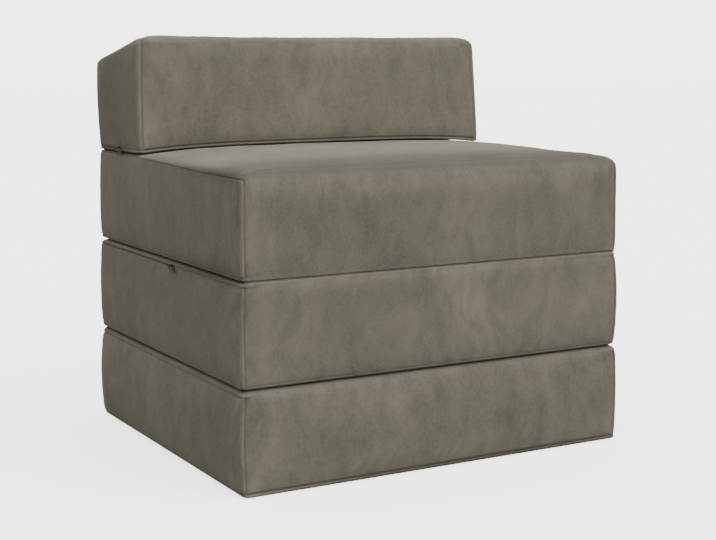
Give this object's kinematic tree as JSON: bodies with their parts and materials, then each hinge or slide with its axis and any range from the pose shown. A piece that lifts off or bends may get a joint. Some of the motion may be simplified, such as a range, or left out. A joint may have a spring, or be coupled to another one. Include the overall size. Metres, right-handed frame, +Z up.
{
  "type": "convertible chair bed",
  "caption": "Fold-out chair bed: stacked foam blocks and a wedge backrest in zipped velvet covers, joined by fabric hinges so that it opens to a flat bed with a pillow.",
  "frame": {"origin": "middle of the base block's underside, on the floor", "axes": "+Z up, the chair faces -Y, +X across the chair to the right as seen from its front"},
  "size_m": [0.673, 0.578, 0.6418],
  "materials": {
    "cover_cloth": "soft brushed velvet, taupe grey",
    "under_cloth": "matt non-slip woven cloth",
    "hinge_tape": "woven tape in the cover colour",
    "foam": "open-cell foam",
    "zip_chain": "coil zip, dyed to match the cover",
    "zip_metal": "plated zinc"
  },
  "bodies": {
    "base": {"base_foam": "foam", "base_bottom": "under_cloth", "base_left": "cover_cloth", "base_rear": "cover_cloth", "base_rear_hinge_tape": "hinge_tape", "base_right": "cover_cloth", "base_wrap": "cover_cloth", "base_zip_chain": "zip_chain"},
    "middle": {"middle_foam": "foam", "middle_bottom": "cover_cloth", "middle_front": "cover_cloth", "middle_front_hinge_tape": "hinge_tape", "middle_left": "cover_cloth", "middle_rear": "cover_cloth", "middle_rear_hinge_tape": "hinge_tape", "middle_right": "cover_cloth", "middle_top": "cover_cloth", "middle_zip_chain": "zip_chain"},
    "seat": {"seat_foam": "foam", "seat_bottom": "cover_cloth", "seat_front_hinge_tape": "hinge_tape", "seat_left": "cover_cloth", "seat_rear": "cover_cloth", "seat_rear_hinge_tape": "hinge_tape", "seat_right": "cover_cloth", "seat_wrap": "cover_cloth", "seat_zip_chain": "zip_chain"},
    "backrest": {"backrest_foam": "foam", "backrest_bottom": "cover_cloth", "backrest_left": "cover_cloth", "backrest_rear": "cover_cloth", "backrest_rear_hinge_tape": "hinge_tape", "backrest_right": "cover_cloth", "backrest_wrap": "cover_cloth", "backrest_zip_chain": "zip_chain"},
    "base_slider": {"base_zip_slider": "zip_metal"},
    "base_pull": {"base_zip_pull": "zip_metal"},
    "middle_slider": {"middle_zip_slider": "zip_metal"},
    "middle_pull": {"middle_zip_pull": "zip_metal"},
    "seat_slider": {"seat_zip_slider": "zip_metal"},
    "seat_pull": {"seat_zip_pull": "zip_metal"},
    "backrest_slider": {"backrest_zip_slider": "zip_metal"},
    "backrest_pull": {"backrest_zip_pull": "zip_metal"}
  },
  "joints": [
    {"name": "middle_fold", "type": "hinge", "parent": "base", "child": "middle", "pos_m": [0, 0.2815, 0.151], "axis": [-1, 0, 0], "range_deg": [0, 180]},
    {"name": "seat_fold", "type": "hinge", "parent": "middle", "child": "seat", "pos_m": [0, -0.2815, 0.302], "axis": [1, 0, 0], "range_deg": [0, 180]},
    {"name": "backrest_fold", "type": "hinge", "parent": "seat", "child": "backrest", "pos_m": [0, 0.2815, 0.453], "axis": [-1, 0, 0], "range_deg": [0, 167]},
    {"name": "base_zip_run", "type": "slide", "parent": "base", "child": "base_slider", "axis": [0, 1, 0], "range_m": [0, 0.3005]},
    {"name": "base_pull_flip", "type": "hinge", "parent": "base_slider", "child": "base_pull", "pos_m": [0.3339, -0.0345, 0.1418], "axis": [0, 0, 1], "range_deg": [0, 175]},
    {"name": "middle_zip_run", "type": "slide", "parent": "middle", "child": "middle_slider", "axis": [0, 1, 0], "range_m": [0, 0.3005]},
    {"name": "middle_pull_flip", "type": "hinge", "parent": "middle_slider", "child": "middle_pull", "pos_m": [-0.3339, -0.0345, 0.2948], "axis": [0, 0, -1], "range_deg": [0, 175]},
    {"name": "seat_zip_run", "type": "slide", "parent": "seat", "child": "seat_slider", "axis": [0, 1, 0], "range_m": [0, 0.3005]},
    {"name": "seat_pull_flip", "type": "hinge", "parent": "seat_slider", "child": "seat_pull", "pos_m": [0.3339, -0.0345, 0.3072], "axis": [0, 0, 1], "range_deg": [0, 175]},
    {"name": "backrest_zip_run", "type": "slide", "parent": "backrest", "child": "backrest_slider", "axis": [0, 1, 0], "range_m": [0, 0.0815]},
    {"name": "backrest_pull_flip", "type": "hinge", "parent": "backrest_slider", "child": "backrest_pull", "pos_m": [-0.3339, 0.18513, 0.4595], "axis": [0, 0, -1], "range_deg": [0, 175]}
  ]
}
